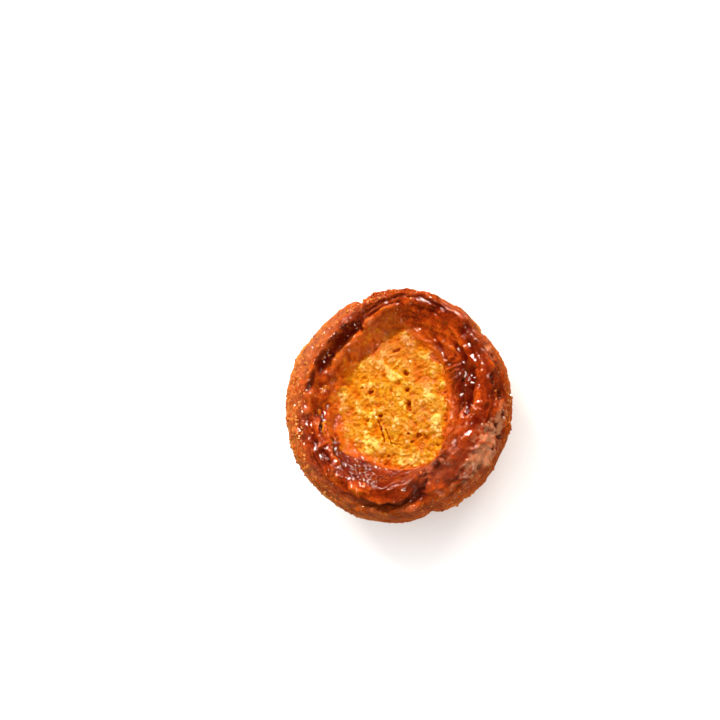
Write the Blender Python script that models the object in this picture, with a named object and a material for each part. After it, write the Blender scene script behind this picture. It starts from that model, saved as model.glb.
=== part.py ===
"""Kouign amann: one round of buttery layered dough, baked in a plain round mould until its sugar turned to caramel.

The dough is turned from one section and then shaped as a baker shapes it: four corners are folded in towards the
middle, so the rim is a rope of overlapping folds, the wall carries their seams, and the open heart sinks between them.
It stands on its flat base, at its real size, with +Z up and the origin in the middle of the base.
"""

import math

import bmesh
import bpy
import numpy as np

MM = 0.001

# Driving sizes.
BASE_RADIUS = 33.4 * MM
BASE_ROUNDING = 4.5 * MM
LIP_HEIGHT = 29.0 * MM  # where the wall is widest
RIM_HEIGHT = 39.0 * MM  # the top of the rolled rim, before its folds
HEART_HEIGHT = 31.5 * MM  # the open crumb at its edge
HEART_DOME = 1.0 * MM
WALL_BULGE = 0.7 * MM

# Outlines seen from above, in millimetres, at even steps anticlockwise from +X.
LIP_OUTLINE = (40.6, 38.6, 38.6, 39.4, 37.4, 38.8, 39.4, 40.4, 42.2, 43.8, 43.4, 42.6)
RIM_OUTLINE = (34.2, 35.2, 36.0, 34.6, 29.8, 28.4, 29.6, 32.0, 34.4, 34.8, 32.4, 32.6)
HEART_OUTLINE = (19.0, 20.2, 21.6, 23.0, 17.2, 16.6, 17.4, 18.8, 21.6, 24.6, 27.4, 22.0)
RIM_LIFT = (0.4, -0.4, 0.2, -0.6, 1.0, 0.8, 0.2, -0.4, 0.0, 0.6, -0.8, 0.2)

# The section's stations: its corners, counted from the middle of the base to the middle of the heart.
BASE_EDGE, WALL_FOOT, LIP, RIM, HEART_EDGE, HEART = 1, 2, 3, 4, 5, 6
ROWS = {BASE_EDGE: 3, WALL_FOOT: 3, LIP: 8, RIM: 8, HEART_EDGE: 12, HEART: 6}
SEGMENTS = 100

# Folds round the rim: the angles where each starts and ends, how far in from the rim it lies there, as a share of the
# way to the heart (negative on the outer side of the rim), its height and its half width in millimetres.
FOLDS = (
    (104, 206, 0.00, 0.05, 1.6, 2.0),
    (104, 160, 0.27, 0.25, -1.9, 1.5),
    (54, 112, 0.04, 0.40, 1.2, 2.0),
    (66, 116, -0.05, 0.16, -1.0, 1.4),
    (-6, 58, -0.15, -0.02, 1.1, 2.2),
    (-20, 44, 0.34, 0.40, -1.2, 2.2),
    (-4, 40, 0.70, 0.66, 0.9, 2.0),
    (184, 242, 0.60, 0.14, 1.2, 1.4),
    (172, 236, 0.26, 0.30, 0.9, 1.6),
    (216, 306, 0.02, 0.10, 1.2, 2.2),
    (250, 292, -0.42, -0.36, -2.3, 2.1),
    (268, 330, 0.52, 0.46, 1.0, 2.2),
)

# Seams in the wall, where one folded corner laps over the next: the angle, how far the upper one stands out and how
# deep the groove beside it is, in millimetres, and how far down the wall the seam runs, as a share of its height.
SEAMS = (
    (39, 0.5, 1.1, 0.80),
    (110, 0.9, 1.3, 0.85),
    (198, 0.4, 0.5, 0.60),
    (290, 0.4, 0.8, 0.70),
)
SEAM_GROOVE_WIDTH = 3.2  # degrees
SEAM_LAP_WIDTH = 34.0  # degrees over which the lapping corner sinks back to the wall


def around(outline, angle):
    """The value at each angle of an outline given at even steps, on a smooth closed curve through its points."""
    place = np.mod(angle / math.tau, 1.0) * len(outline)
    index = np.floor(place).astype(int)
    part = place - index
    before, here, after, beyond = (
        np.take(outline, index + step, mode="wrap") for step in (-1, 0, 1, 2)
    )
    curve = 3 * (here - after) + beyond - before
    slope = 2 * before - 5 * here + 4 * after - beyond + part * curve
    return here + 0.5 * part * (after - before + part * slope)


def smooth(share):
    """0 to 1, level at both ends."""
    share = np.clip(share, 0.0, 1.0)
    return share * share * (3 - 2 * share)


def hump(distance):
    """1 at no distance, falling smoothly to about 0 at a distance of 2."""
    return np.exp(-distance * distance)


def section(station, angle):
    """Radius and height of the turned dough at each station of its section and angle round it."""
    lip = around(LIP_OUTLINE, angle) * MM
    rim = around(RIM_OUTLINE, angle) * MM
    heart = around(HEART_OUTLINE, angle) * MM
    rim_height = RIM_HEIGHT + around(RIM_LIFT, angle) * MM
    flat = BASE_RADIUS - BASE_ROUNDING
    share = station - np.floor(station)
    quarter = share * math.pi / 2
    pieces = (
        (flat * share, 0 * share),
        (flat + BASE_ROUNDING * np.sin(quarter), BASE_ROUNDING * (1 - np.cos(quarter))),
        (
            BASE_RADIUS + (lip - BASE_RADIUS) * (share + smooth(share)) / 2 + WALL_BULGE * np.sin(2 * quarter),
            BASE_ROUNDING + (LIP_HEIGHT - BASE_ROUNDING) * share,
        ),
        (
            rim + (lip - rim) * np.cos(quarter),
            LIP_HEIGHT + (rim_height - LIP_HEIGHT) * np.sin(quarter),
        ),
        (
            rim + (heart - rim) * share,
            rim_height + (HEART_HEIGHT - rim_height) * smooth(share),
        ),
        (heart * (1 - share), HEART_HEIGHT + HEART_DOME * np.sin(quarter) ** 2),
    )
    which = np.minimum(np.floor(station).astype(int), len(pieces) - 1)
    radius = np.choose(which, [piece[0] for piece in pieces])
    height = np.choose(which, [piece[1] for piece in pieces])
    top = station >= HEART
    return np.where(top, 0.0, radius), np.where(top, HEART_HEIGHT + HEART_DOME, height)


def fold_height(station, angle):
    """How far the folds of the rim stand out from the turned dough, or sink into it."""
    inset = station - RIM
    width_of_ring = around(np.subtract(RIM_OUTLINE, HEART_OUTLINE), angle)
    width_of_lip = around(np.subtract(LIP_OUTLINE, RIM_OUTLINE), angle) * math.pi / 2
    scale = np.where(inset > 0, width_of_ring, width_of_lip)
    total = np.zeros_like(station)
    for start, end, inset_start, inset_end, height, width in FOLDS:
        along = np.mod(np.degrees(angle) - start, 360) / (end - start)
        inside = smooth(along / 0.18) * smooth((1 - along) / 0.18)
        crest = inset_start + (inset_end - inset_start) * along
        total += height * MM * inside * hump((inset - crest) * scale / width)
    return total * smooth((station - WALL_FOOT) / 0.8) * smooth((HEART_EDGE + 0.3 - station) / 0.3)


def seam_height(station, angle):
    """How far the lapping corners stand out from the wall on one side of each seam, and the groove along it."""
    total = np.zeros_like(station)
    for place, lap, groove, reach in SEAMS:
        past = np.mod(np.degrees(angle) - place + 180, 360) - 180
        depth = smooth((station - (LIP - reach)) / 0.6) * smooth((RIM + 0.5 - station) / 0.7)
        lapping = np.where(past > 0, 1 - smooth(past / SEAM_LAP_WIDTH), 1 - smooth(-past / SEAM_GROOVE_WIDTH))
        total += depth * lap * MM * lapping
        total -= depth * groove * MM * hump((past + SEAM_GROOVE_WIDTH) / SEAM_GROOVE_WIDTH)
    return total


def turned_dough():
    """The section as a row of points, spun about +Z into a closed round with each point's station kept with it."""
    mesh = bmesh.new()
    station_layer = mesh.verts.layers.float.new("station")
    stations = [0.0]
    for end, rows in ROWS.items():
        stations += [end - 1 + (row + 1) / rows for row in range(rows)]
    radii, heights = section(np.array(stations), np.zeros(len(stations)))
    previous = None
    for station, radius, height in zip(stations, radii, heights):
        point = mesh.verts.new((radius, 0, height))
        point[station_layer] = station
        if previous:
            mesh.edges.new((previous, point))
        previous = point
    bmesh.ops.spin(
        mesh,
        geom=mesh.verts[:] + mesh.edges[:],
        cent=(0, 0, 0),
        axis=(0, 0, 1),
        dvec=(0, 0, 0),
        angle=math.tau,
        steps=SEGMENTS,
        use_merge=True,
    )
    bmesh.ops.remove_doubles(mesh, verts=mesh.verts[:], dist=0.001 * MM)
    bmesh.ops.recalc_face_normals(mesh, faces=mesh.faces[:])
    return mesh, station_layer


def shape_folds(mesh, station_layer):
    """Moves each point of the turned dough out to its own outline, folds and seams, centred on the origin."""
    station = np.array([point[station_layer] for point in mesh.verts])
    angle = np.array([math.atan2(point.co.y, point.co.x) for point in mesh.verts])
    radius, height = section(station, angle)
    lean = np.clip(station - LIP, 0.0, 1.0) * math.pi / 2
    stand_out = fold_height(station, angle) + seam_height(station, angle)
    radius = radius + stand_out * np.cos(lean)
    height = height + stand_out * np.sin(lean)
    places = np.stack([radius * np.cos(angle), radius * np.sin(angle), height], axis=1)
    places[:, :2] -= (places[:, :2].max(axis=0) + places[:, :2].min(axis=0)) / 2
    for point, place in zip(mesh.verts, places):
        point.co = place


def caramel():
    """Browned, sugar-lacquered crust."""
    material = bpy.data.materials.new("caramel_crust")
    material.use_nodes = True
    shader = material.node_tree.nodes["Principled BSDF"]
    shader.inputs["Base Color"].default_value = (0.46, 0.12, 0.025, 1)
    shader.inputs["Roughness"].default_value = 0.35
    shader.inputs["Metallic"].default_value = 0.0
    return material


def main():
    for old in list(bpy.data.objects):
        bpy.data.objects.remove(old)
    collection = bpy.data.collections.new("kouign_amann_model")
    bpy.context.scene.collection.children.link(collection)
    dough, station_layer = turned_dough()
    shape_folds(dough, station_layer)
    mesh = bpy.data.meshes.new("kouign_amann")
    dough.to_mesh(mesh)
    dough.free()
    mesh.shade_smooth()
    mesh.materials.append(caramel())
    collection.objects.link(bpy.data.objects.new("kouign_amann", mesh))


main()
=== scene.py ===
import math

import bmesh
import bpy
import numpy as np
from mathutils import Matrix, Vector


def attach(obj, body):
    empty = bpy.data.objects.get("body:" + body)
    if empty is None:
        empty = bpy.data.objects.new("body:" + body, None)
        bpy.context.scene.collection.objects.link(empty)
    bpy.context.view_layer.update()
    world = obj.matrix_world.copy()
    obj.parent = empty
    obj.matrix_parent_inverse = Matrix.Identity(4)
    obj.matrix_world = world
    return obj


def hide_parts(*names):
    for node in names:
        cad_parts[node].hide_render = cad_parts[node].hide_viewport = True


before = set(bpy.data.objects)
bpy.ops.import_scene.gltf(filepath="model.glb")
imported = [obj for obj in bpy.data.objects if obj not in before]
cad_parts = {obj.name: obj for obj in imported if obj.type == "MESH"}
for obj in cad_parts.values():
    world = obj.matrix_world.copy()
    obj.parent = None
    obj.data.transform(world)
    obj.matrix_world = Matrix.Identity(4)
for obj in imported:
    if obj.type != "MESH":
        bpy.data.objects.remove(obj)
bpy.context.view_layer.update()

bpy.context.scene.view_settings.view_transform = "Standard"
bpy.context.scene.view_settings.look = "None"

# --------------------------------------------------------------------
# The crust: layered butter dough pressed into a round mould with its four corners folded in, so the rim is
# a rope of overlapping folds and the wall carries their seams. It has fried in its own butter to a dull
# golden skin, paler at the foot and browner towards the rim, where sugar ran out between the layers.
# --------------------------------------------------------------------
MM = 0.001

# Sizes in millimetres. Outlines are seen from above, at even steps anticlockwise from +X.
BASE_RADIUS = 33.4
BASE_ROUNDING = 4.5
LIP_HEIGHT = 29.0
RIM_HEIGHT = 39.0
HEART_HEIGHT = 31.5
HEART_DOME = 1.0
WALL_BULGE = 0.7

LIP_OUTLINE = (40.6, 38.6, 38.6, 39.4, 37.4, 38.8, 39.4, 40.4, 42.2, 43.8, 43.4, 42.6)
RIM_OUTLINE = (34.2, 35.2, 36.0, 34.6, 29.8, 28.4, 29.6, 32.0, 34.4, 34.8, 32.4, 32.6)
HEART_OUTLINE = (19.0, 20.2, 21.6, 23.0, 17.2, 16.6, 17.4, 18.8, 21.6, 24.6, 27.4, 22.0)
RIM_LIFT = (0.4, -0.4, 0.2, -0.6, 1.0, 0.8, 0.2, -0.4, 0.0, 0.6, -0.8, 0.2)

BASE_EDGE, WALL_FOOT, LIP, RIM, HEART_EDGE, HEART = 1, 2, 3, 4, 5, 6
CRUST_ROWS = {BASE_EDGE: 9, WALL_FOOT: 8, LIP: 76, RIM: 38, HEART_EDGE: 9, HEART: 2}
CRUST_SEGMENTS = 700
SECTION_RUN = (0, 29, 36, 62, 75, 90, 112)  # millimetres along the section to each station
WALL_RADIUS = 38
RING_RADIUS = 28
WALL_RUN = 26  # millimetres along the section from the foot of the wall to the lip
LIP_RUN = 13  # and from the lip to the top of the rim

# Folds round the rim: the angles where each starts and ends, how far in from the rim it lies at both, as a
# share of the way to the heart, its height (negative for a crease) and its half width in millimetres.
FOLDS = (
    (104, 206, 0.00, 0.05, 1.6, 2.0),
    (104, 160, 0.27, 0.25, -1.9, 1.5),
    (54, 112, 0.04, 0.40, 1.2, 2.0),
    (66, 116, -0.05, 0.16, -1.0, 1.4),
    (-6, 58, -0.15, -0.02, 1.1, 2.2),
    (-20, 44, 0.34, 0.40, -1.2, 2.2),
    (-4, 40, 0.70, 0.66, 0.9, 2.0),
    (184, 242, 0.60, 0.14, 1.2, 1.4),
    (172, 236, 0.26, 0.30, 0.9, 1.6),
    (216, 306, 0.02, 0.10, 1.2, 2.2),
    (250, 292, -0.42, -0.36, -2.3, 2.1),
    (268, 330, 0.52, 0.46, 1.0, 2.2),
)
# Seams down the wall: the angle, how far the lapping corner stands out, the depth of the groove beside it,
# and how far down the wall the seam runs, as a share of its height.
SEAMS = (
    (39, 0.5, 1.1, 0.80),
    (110, 0.9, 1.3, 0.85),
    (198, 0.4, 0.5, 0.60),
    (290, 0.4, 0.8, 0.70),
)
SEAM_GROOVE_WIDTH = 3.2
SEAM_LAP_WIDTH = 34.0

# Wrinkles, thin layer edges and creases, given as the folds are but finer.
WRINKLES = (
    (112, 168, 0.00, 0.03, 0.5, 0.7),
    (106, 162, 0.44, 0.40, 0.8, 0.9),
    (108, 164, 0.20, 0.17, -1.0, 0.8),
    (119, 136, 0.66, 0.58, 0.8, 0.9),
    (84, 110, 0.30, 0.42, 0.8, 0.6),
    (80, 108, 0.22, 0.30, -0.8, 0.6),
    (58, 104, -0.12, -0.02, 0.6, 0.7),
    (36, 64, -0.12, -0.06, 0.9, 0.55),
    (38, 62, -0.26, -0.20, -0.8, 0.6),
    (2, 38, -0.30, -0.06, 0.8, 0.6),
    (4, 36, -0.42, -0.16, -1.0, 0.6),
    (10, 30, -0.62, -0.42, 0.7, 0.8),
    (14, 48, 0.16, 0.26, 0.6, 0.8),
    (22, 52, 0.50, 0.62, 0.9, 1.1),
    (-24, 22, 0.30, 0.16, -0.8, 0.8),
    (-30, 16, 0.42, 0.40, 0.7, 0.8),
    (190, 222, 0.32, 0.24, 0.8, 0.9),
    (188, 242, 0.62, 0.14, 0.8, 0.6),
    (186, 236, 0.50, 0.10, -0.8, 0.6),
    (194, 230, 0.84, 0.66, 0.7, 0.45),
    (192, 228, 0.74, 0.56, -0.5, 0.5),
    (174, 198, 0.12, 0.20, 0.9, 0.9),
    (213, 226, 0.12, 0.30, 0.7, 0.5),
    (244, 264, 0.30, 0.22, 0.6, 0.45),
    (248, 266, 0.44, 0.38, 0.5, 0.45),
    (246, 272, -0.03, -0.22, 0.8, 1.0),
    (256, 290, -0.44, -0.40, -0.5, 0.8),
    (252, 292, -0.60, -0.55, 0.7, 0.9),
    (264, 284, -0.20, -0.24, 0.6, 0.5),
    (282, 296, -0.36, -0.02, -1.0, 0.9),
    (294, 330, -0.70, -0.60, -0.8, 0.7),
    (290, 324, -0.86, -0.80, 0.5, 0.7),
    (300, 322, -0.46, -0.40, -0.5, 0.6),
    (322, 338, -0.30, -0.52, 0.7, 0.7),
    (318, 336, -0.72, -0.66, 0.7, 0.8),
)

# Ripples that cross the ring instead of running round it: the angle, the stations where each starts and
# ends, its height and its half width in millimetres.
RIPPLES = (
    (21, 4.50, 4.98, 0.7, 0.45),
    (17, 4.50, 4.80, 0.6, 0.40),
    (11, 4.60, 4.90, 0.5, 0.45),
    (28, 4.60, 4.92, 0.5, 0.45),
    (218, 4.08, 4.34, 0.6, 0.45),
    (227, 4.02, 4.22, 0.6, 0.50),
    (234, 3.92, 4.14, 0.5, 0.45),
    (255, 3.70, 3.98, 0.7, 0.50),
    (261, 3.86, 4.08, 0.7, 0.50),
    (104, 4.20, 4.60, 0.5, 0.60),
    (110, 4.10, 4.50, -0.6, 0.60),
    (330, 3.10, 3.60, 0.6, 0.70),
    (336, 3.30, 3.70, -0.6, 0.60),
    (322, 2.70, 3.45, 0.6, 0.80),
    (314, 2.60, 3.40, 0.5, 0.70),
    (343, 2.60, 3.30, 0.6, 0.80),
    (350, 2.50, 3.20, -0.6, 0.60),
    (306, 2.90, 3.50, -0.5, 0.60),
)

# Laps in the wall, where an outer layer ends over the one below it: the angles where each starts and ends,
# the station of its edge at both, and how far it stands out in millimetres.
LAPS = (
    (-34, 38, 2.26, 2.88, 0.9),
    (110, 176, 2.92, 2.34, 1.0),
    (196, 286, 2.16, 2.80, 0.8),
    (290, 346, 2.84, 2.40, 0.8),
    (46, 108, 2.60, 2.22, 0.7),
    (158, 202, 2.52, 2.74, 0.6),
    (10, 70, 2.10, 2.40, 0.5),
    (226, 262, 2.40, 2.62, 0.5),
)
LAP_EDGE = 1.1  # how far below its edge the layer under a lap lies free
LAP_FADE = 6  # how far above its edge a lap sinks back into the wall
UNDERSIDE_DROP = 1.0  # how far below its top an underside is first set, so that welding leaves them apart


def around(outline, angle):
    """The value of an outline at each angle, on a smooth closed curve through its points."""
    place = np.mod(angle / math.tau, 1.0) * len(outline)
    index = np.floor(place).astype(int)
    part = place - index
    steps = (-1, 0, 1, 2)
    before, here, after, beyond = (np.take(outline, index + step, mode="wrap") for step in steps)
    curve = 3 * (here - after) + beyond - before
    slope = 2 * before - 5 * here + 4 * after - beyond + part * curve
    return here + 0.5 * part * (after - before + part * slope)


def smooth(share):
    """0 to 1, level at both ends."""
    share = np.clip(share, 0.0, 1.0)
    return share * share * (3 - 2 * share)


def hump(distance):
    """1 at no distance, falling smoothly to about 0 at a distance of 2."""
    return np.exp(-distance * distance)


def faded(along, end):
    """1 along a stroke, falling to 0 over this share of it at both of its ends."""
    return smooth(along / end) * smooth((1 - along) / end)


def turn(angle, place):
    """Degrees from a place round the pastry to each angle, from -180 to 180."""
    return np.mod(np.degrees(angle) - place + 180, 360) - 180


def section(station, angle):
    """Radius and height of the turned dough at each station of its section and angle round it."""
    lip = around(LIP_OUTLINE, angle)
    rim = around(RIM_OUTLINE, angle)
    heart = around(HEART_OUTLINE, angle)
    rim_height = RIM_HEIGHT + around(RIM_LIFT, angle)
    flat = BASE_RADIUS - BASE_ROUNDING
    share = station - np.floor(station)
    quarter = share * math.pi / 2
    widening = (lip - BASE_RADIUS) * (share + smooth(share)) / 2 + WALL_BULGE * np.sin(2 * quarter)
    pieces = (
        (flat * share, 0 * share),
        (flat + BASE_ROUNDING * np.sin(quarter), BASE_ROUNDING * (1 - np.cos(quarter))),
        (BASE_RADIUS + widening, BASE_ROUNDING + (LIP_HEIGHT - BASE_ROUNDING) * share),
        (rim + (lip - rim) * np.cos(quarter), LIP_HEIGHT + (rim_height - LIP_HEIGHT) * np.sin(quarter)),
        (rim + (heart - rim) * share, rim_height + (HEART_HEIGHT - rim_height) * smooth(share)),
        (heart * (1 - share), HEART_HEIGHT + HEART_DOME * np.sin(quarter) ** 2),
    )
    which = np.minimum(np.floor(station).astype(int), len(pieces) - 1)
    radius = np.choose(which, [piece[0] for piece in pieces])
    height = np.choose(which, [piece[1] for piece in pieces])
    top = station >= HEART
    return np.where(top, 0.0, radius), np.where(top, HEART_HEIGHT + HEART_DOME, height)


def fold_height(station, angle, folds):
    """How far a table's folds stand out from the turned dough, or sink into it."""
    inset = station - RIM
    width_of_ring = around(np.subtract(RIM_OUTLINE, HEART_OUTLINE), angle)
    width_of_lip = around(np.subtract(LIP_OUTLINE, RIM_OUTLINE), angle) * math.pi / 2
    scale = np.where(inset > 0, width_of_ring, width_of_lip)
    total = np.zeros_like(station)
    for start, end, inset_start, inset_end, height, width in folds:
        along = np.mod(np.degrees(angle) - start, 360) / (end - start)
        crest = inset_start + (inset_end - inset_start) * along
        total += height * faded(along, 0.18) * hump((inset - crest) * scale / width)
    return total * smooth((station - WALL_FOOT) / 0.8) * smooth((HEART_EDGE + 0.3 - station) / 0.3)


def ripple_height(station, angle):
    """How far the ripples across the ring stand out, or sink into it."""
    total = np.zeros_like(station)
    for place, start, end, height, width in RIPPLES:
        along = (station - start) / (end - start)
        away = turn(angle, place) * math.radians(1) * RING_RADIUS / width
        total += height * faded(along, 0.25) * hump(away)
    return total


def lap_height(station, angle):
    """How far the lapping layers of the wall stand out, with the crease under the edge of each."""
    total = np.zeros_like(station)
    for start, end, first_station, last_station, height in LAPS:
        along = np.mod(np.degrees(angle) - start, 360) / (end - start)
        under = (first_station + (last_station - first_station) * along - station) * WALL_RUN
        above = np.exp(np.minimum(under, 0) / LAP_FADE)
        edge = np.where(under > 0, 1 - smooth(under / LAP_EDGE), above)
        total += 1.3 * height * faded(along, 0.2) * (edge - 0.6 * hump((under - 1.3) / 0.7))
    return total


def seam_height(station, angle):
    """How far the lapping corners stand out on one side of each seam, less the groove along it."""
    total = np.zeros_like(station)
    for place, lap, groove, reach in SEAMS:
        past = turn(angle, place)
        depth = smooth((station - (LIP - reach)) / 0.6) * smooth((RIM + 0.5 - station) / 0.7)
        lapping = 1 - smooth(np.where(past > 0, past / SEAM_LAP_WIDTH, -past / SEAM_GROOVE_WIDTH))
        total += depth * lap * lapping
        total -= depth * groove * hump((past + SEAM_GROOVE_WIDTH) / SEAM_GROOVE_WIDTH)
    return total


LOTS = np.random.default_rng(29).random((4096, 4))


def drawn(cell, seed):
    """Four numbers from 0 to 1 for each cell of a lattice, always the same for that cell."""
    east, north, upward = np.moveaxis(cell, -1, 0)
    return LOTS[(east * 73856093 ^ north * 19349663 ^ upward * 83492791 ^ seed * 40503) & 4095]


def lumps(points, size, seed):
    """Smooth noise from about -1 to 1, with lumps of about the given size, at each point."""
    place = points / size
    cell = np.floor(place).astype(int)
    part = place - cell
    fade = part**3 * (part * (part * 6 - 15) + 10)
    total = np.zeros(len(points))
    for corner in np.ndindex(2, 2, 2):
        lean = drawn(cell + corner, seed)[:, :3] * 2 - 1
        weight = np.prod(np.where(corner, fade, 1 - fade), axis=1)
        total += weight * np.sum(lean * (part - corner), axis=1)
    return total * 1.5


def layered_lumps(points, *layers):
    """The sum of some noises, each given by its height, its size and its seed."""
    return sum(height * lumps(points, size, seed) for height, size, seed in layers)


def cells(points, size, seed):
    """Distance to the nearest of some scattered centres, in shares of size, and a number that it draws."""
    place = points / size
    cell = np.floor(place).astype(int)
    nearest = np.full(len(points), 9.0)
    lot = np.zeros(len(points))
    for offset in np.ndindex(3, 3, 3):
        neighbour = cell + offset - 1
        chance = drawn(neighbour, seed)
        distance = np.linalg.norm(neighbour + chance[:, :3] - place, axis=1)
        lot = np.where(distance < nearest, chance[:, 3], lot)
        nearest = np.minimum(nearest, distance)
    return nearest, lot


def turned_round(name, stations, segments, under_from=None):
    """A grid rolled up about +Z, with a row for each station, welded at its seam and its poles.

    The rows from under_from on, all but the last, are those of an underside.
    """
    mesh = bmesh.new()
    row_layer = mesh.verts.layers.float.new("row")
    rows = len(stations) - 1
    bmesh.ops.create_grid(mesh, x_segments=rows, y_segments=segments, size=0.5)
    radii, heights = section(np.array(stations), np.zeros(len(stations)))
    for point in mesh.verts:
        row = round((point.co.x + 0.5) * rows)
        angle = (point.co.y + 0.5) * math.tau
        lowered = UNDERSIDE_DROP if under_from and under_from <= row < rows else 0.0
        point.co = (radii[row] * math.cos(angle), radii[row] * math.sin(angle), heights[row] - lowered)
        point[row_layer] = row
    bmesh.ops.scale(mesh, vec=(MM, MM, MM), verts=mesh.verts[:])
    bmesh.ops.remove_doubles(mesh, verts=mesh.verts[:], dist=0.001 * MM)
    bmesh.ops.recalc_face_normals(mesh, faces=mesh.faces[:])
    return finished(name, mesh)


def finished(name, mesh, rounded=True):
    """An object of a bmesh, in the scene."""
    data = bpy.data.meshes.new(name)
    mesh.to_mesh(data)
    mesh.free()
    if rounded:
        data.shade_smooth()
    piece = bpy.data.objects.new(name, data)
    bpy.context.scene.collection.objects.link(piece)
    return piece


def numbers(rows, field, wide):
    """One field of every row of a mesh's data."""
    values = np.empty(len(rows) * wide, np.float32)
    rows.foreach_get(field, values)
    return values.reshape(-1, wide).squeeze().astype(float)


def points_of(piece):
    """Each point's place, in millimetres."""
    return numbers(piece.data.vertices, "co", 3) / MM


def put_points(piece, places):
    """Moves a piece's points to these places, in millimetres."""
    piece.data.vertices.foreach_set("co", (places * MM).astype(np.float32).ravel())
    piece.data.update()


def normals_of(piece):
    """The direction that the surface faces at each point."""
    return numbers(piece.data.vertex_normals, "vector", 3)


def values_of(piece, name):
    """The numbers kept under this name, one for each point."""
    return numbers(piece.data.attributes[name].data, "value", 1)


def keep_values(piece, **named):
    """Keeps numbers at each point of a piece, for its finish to read."""
    for name, values in named.items():
        layer = piece.data.attributes.new(name, "FLOAT", "POINT")
        layer.data.foreach_set("value", values.astype(np.float32))


def folded(station, angle):
    """Places of the folded dough, in millimetres, and how far its folds and seams stand out there."""
    radius, height = section(station, angle)
    lean = np.clip(station - LIP, 0.0, 1.0) * math.pi / 2
    stand_out = fold_height(station, angle, FOLDS) + seam_height(station, angle)
    radius = radius + stand_out * np.cos(lean)
    height = height + stand_out * np.sin(lean)
    return np.stack([radius * np.cos(angle), radius * np.sin(angle), height], axis=1), stand_out


def streaks(angle, run, long, short, seed):
    """Noise drawn out round the pastry, as its rolled layers are."""
    east = WALL_RADIUS * np.cos(angle) / long
    north = WALL_RADIUS * np.sin(angle) / long
    return lumps(np.stack([east, north, run / short], axis=1), 1.0, seed)


def patch(angle, station, place, half_width, middle_station, half_depth):
    """1 in the middle of a patch given by angle and station, falling to 0 at twice its half widths."""
    return hump(turn(angle, place) / half_width) * hump((station - middle_station) / half_depth)


def patches(angle, station, table):
    """The sum of a table's patches: strength, angle and half width, station and half depth of each."""
    return sum(strength * patch(angle, station, *where) for strength, *where in table)


def ridged(points, size, seed):
    """Noise with sharp crests, from about -0.6 to 1."""
    return np.clip(1 - np.abs(lumps(points, size, seed)) * 3.2, -0.6, 1)


def crumpled(station, angle, places):
    """Relief of the baked dough: its lumps, wrinkles, creases and the edges of its layers."""
    run = np.interp(station, range(len(SECTION_RUN)), SECTION_RUN)
    on_top = smooth((station - 2.75) / 0.6)
    on_ring = smooth((station - 3.6) / 0.5)
    on_wall = smooth((station - 1.0) / 0.8) * (1 - smooth((station - 2.8) / 0.4))
    wander_station = station + 0.09 * lumps(places, 6.0, 51) + 0.035 * lumps(places, 2.2, 52)
    wander_angle = angle + np.radians(3.0 * lumps(places, 7.0, 53) + 1.1 * lumps(places, 2.4, 54))
    strokes = fold_height(wander_station, wander_angle, WRINKLES)
    strokes += ripple_height(wander_station, wander_angle)
    relief = strokes * (1.25 + 0.8 * lumps(places, 5.0, 55))
    relief += lap_height(wander_station, wander_angle) * smooth((3.3 - station) / 0.4)
    relief += on_top * layered_lumps(places, (0.65, 9.0, 11), (0.42, 4.2, 12), (0.20, 2.2, 21))
    run = run + 1.3 * lumps(places, 7.0, 22) + 0.5 * lumps(places, 2.6, 23)
    relief += on_wall * layered_lumps(places, (0.70, 15.0, 13), (0.50, 6.0, 14), (0.16, 2.6, 20))
    for high, long, short, seed, low in (
        (on_top * 0.30, 8.0, 2.3, 15, -0.8),
        (on_ring * 0.10, 4.5, 1.3, 16, -0.8),
        (on_wall * 0.12, 16.0, 2.6, 17, -0.6),
    ):
        relief += high * np.clip(1 - np.abs(streaks(angle, run, long, short, seed)) * 3.0, low, 1)
    layer = run / 1.9 + 1.6 * streaks(angle, run, 16.0, 9.0, 18)
    layered = smooth((streaks(angle, run, 14.0, 14.0, 19) + 0.15) / 0.5)
    layered *= smooth((station - 2.2) / 0.5) * (1 - smooth((station - 4.3) / 0.4))
    return relief + layered * 0.32 * (np.mod(layer, 1.0) - 0.5)


crust_stations = [0.0]
for end, count in CRUST_ROWS.items():
    crust_stations += [end - 1 + (row + 1) / count for row in range(count)]
crust = turned_round("crust", crust_stations, CRUST_SEGMENTS)
station = np.interp(values_of(crust, "row"), range(len(crust_stations)), crust_stations)
places = points_of(crust)
angle = np.arctan2(places[:, 1], places[:, 0])
places, stand_out = folded(station, angle)
middle = np.append((places[:, :2].max(axis=0) + places[:, :2].min(axis=0)) / 2, 0.0)
places -= middle
put_points(crust, places)
normals = normals_of(crust)

# How far up the section the caramel reaches, at even steps anticlockwise from +X.
GLAZE_START = (3.00, 3.45, 3.42, 3.30, 3.76, 3.84, 3.72, 3.56, 3.48, 3.30, 3.28, 2.88)


def glaze_edge(angle, places):
    """The station at which the caramel begins, on a ragged line round the pastry."""
    return around(GLAZE_START, angle) + 0.14 * lumps(places, 6.0, 61) + 0.07 * lumps(places, 2.4, 62)


# The notch that each seam opens into towards the lip: where it starts and ends, as shares of the wall's
# height, its half width at the lip and its depth for each millimetre of the seam's groove.
NOTCH_FOOT = 0.42
NOTCH_TOP = 1.2
NOTCH_WIDTH = 1.3
NOTCH_DEPTH = 1.7

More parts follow.
